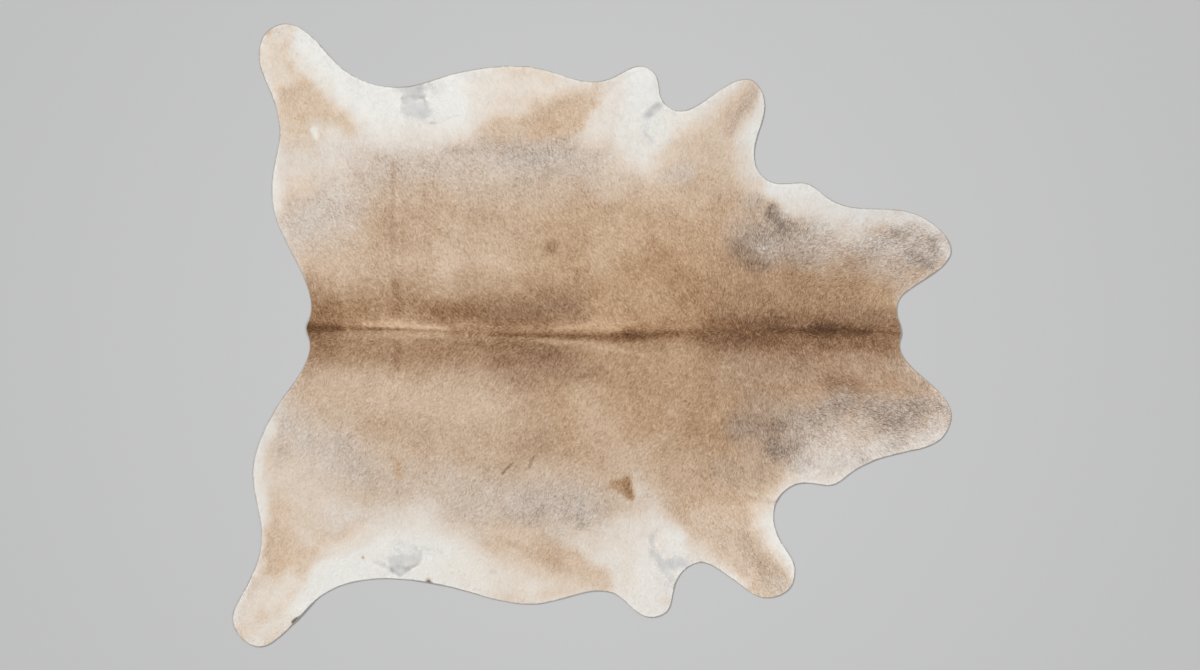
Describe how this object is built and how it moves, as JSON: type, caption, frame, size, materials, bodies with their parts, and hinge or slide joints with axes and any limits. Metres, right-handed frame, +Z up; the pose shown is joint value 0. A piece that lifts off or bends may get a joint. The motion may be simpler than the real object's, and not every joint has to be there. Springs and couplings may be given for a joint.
{
  "type": "cowhide rug",
  "caption": "Whole hair-on cowhide lying flat as a rug, with leg, flap and neck lobes and a low raised line along the spine.",
  "frame": {"origin": "on the floor, under the middle of the rug's bounding box", "axes": "+X along the spine from the tail to the neck, +Y towards the flank on the left of the neck, +Z up, away from the floor, on the hair side"},
  "size_m": [2.3, 1.995, 0.0115],
  "materials": {
    "hair_on_hide": "short tan, ash and white hair left on the skin and lying flat, with a suede underside"
  },
  "bodies": {
    "root": {"hide": "hair_on_hide"}
  },
  "joints": []
}
